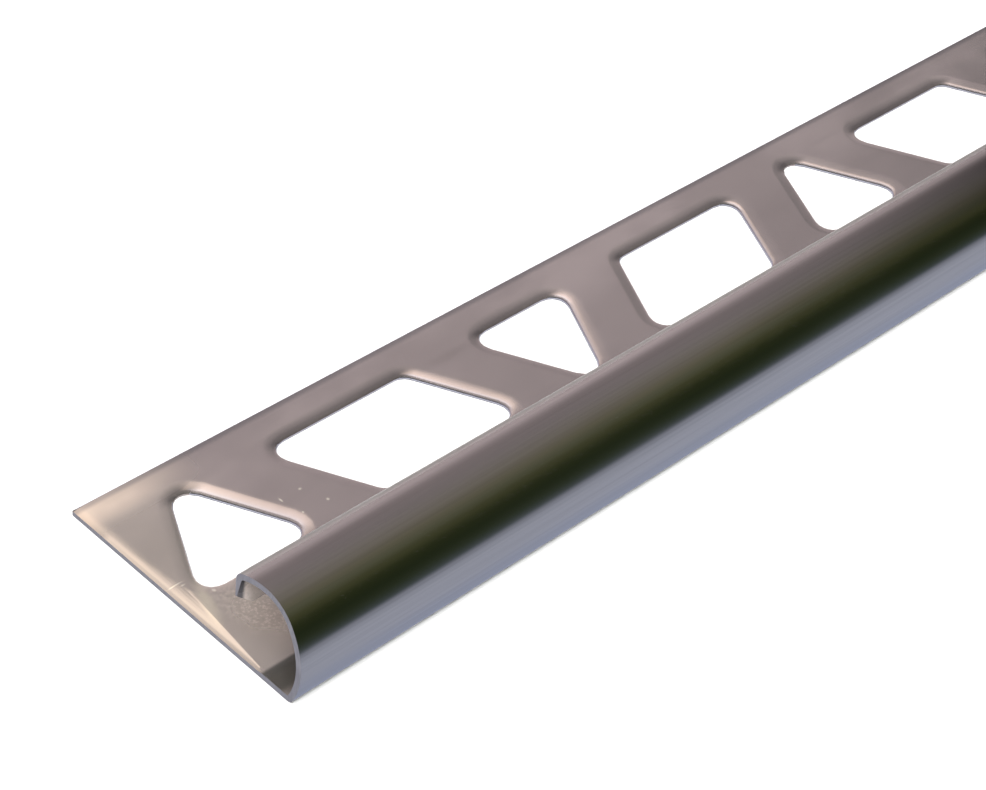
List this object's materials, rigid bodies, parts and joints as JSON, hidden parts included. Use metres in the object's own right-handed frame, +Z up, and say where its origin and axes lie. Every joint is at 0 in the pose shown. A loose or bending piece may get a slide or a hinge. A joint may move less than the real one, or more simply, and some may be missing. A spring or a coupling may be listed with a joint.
{
  "type": "tile edge trim",
  "caption": "Stainless steel tile edge trim: a flat leg punched with slanting openings, folded up into a rounded nose with a short return lip for the tile.",
  "frame": {"origin": "middle of the underside of the trim's outline, halfway along its length", "axes": "+X along the length, +Y from the rounded nose towards the free edge of the leg, +Z up from the leg to the crown of the nose"},
  "size_m": [1, 0.0286, 0.01],
  "materials": {
    "stainless": "satin rolled stainless steel"
  },
  "bodies": {
    "root": {"edge_trim": "stainless"}
  },
  "joints": []
}
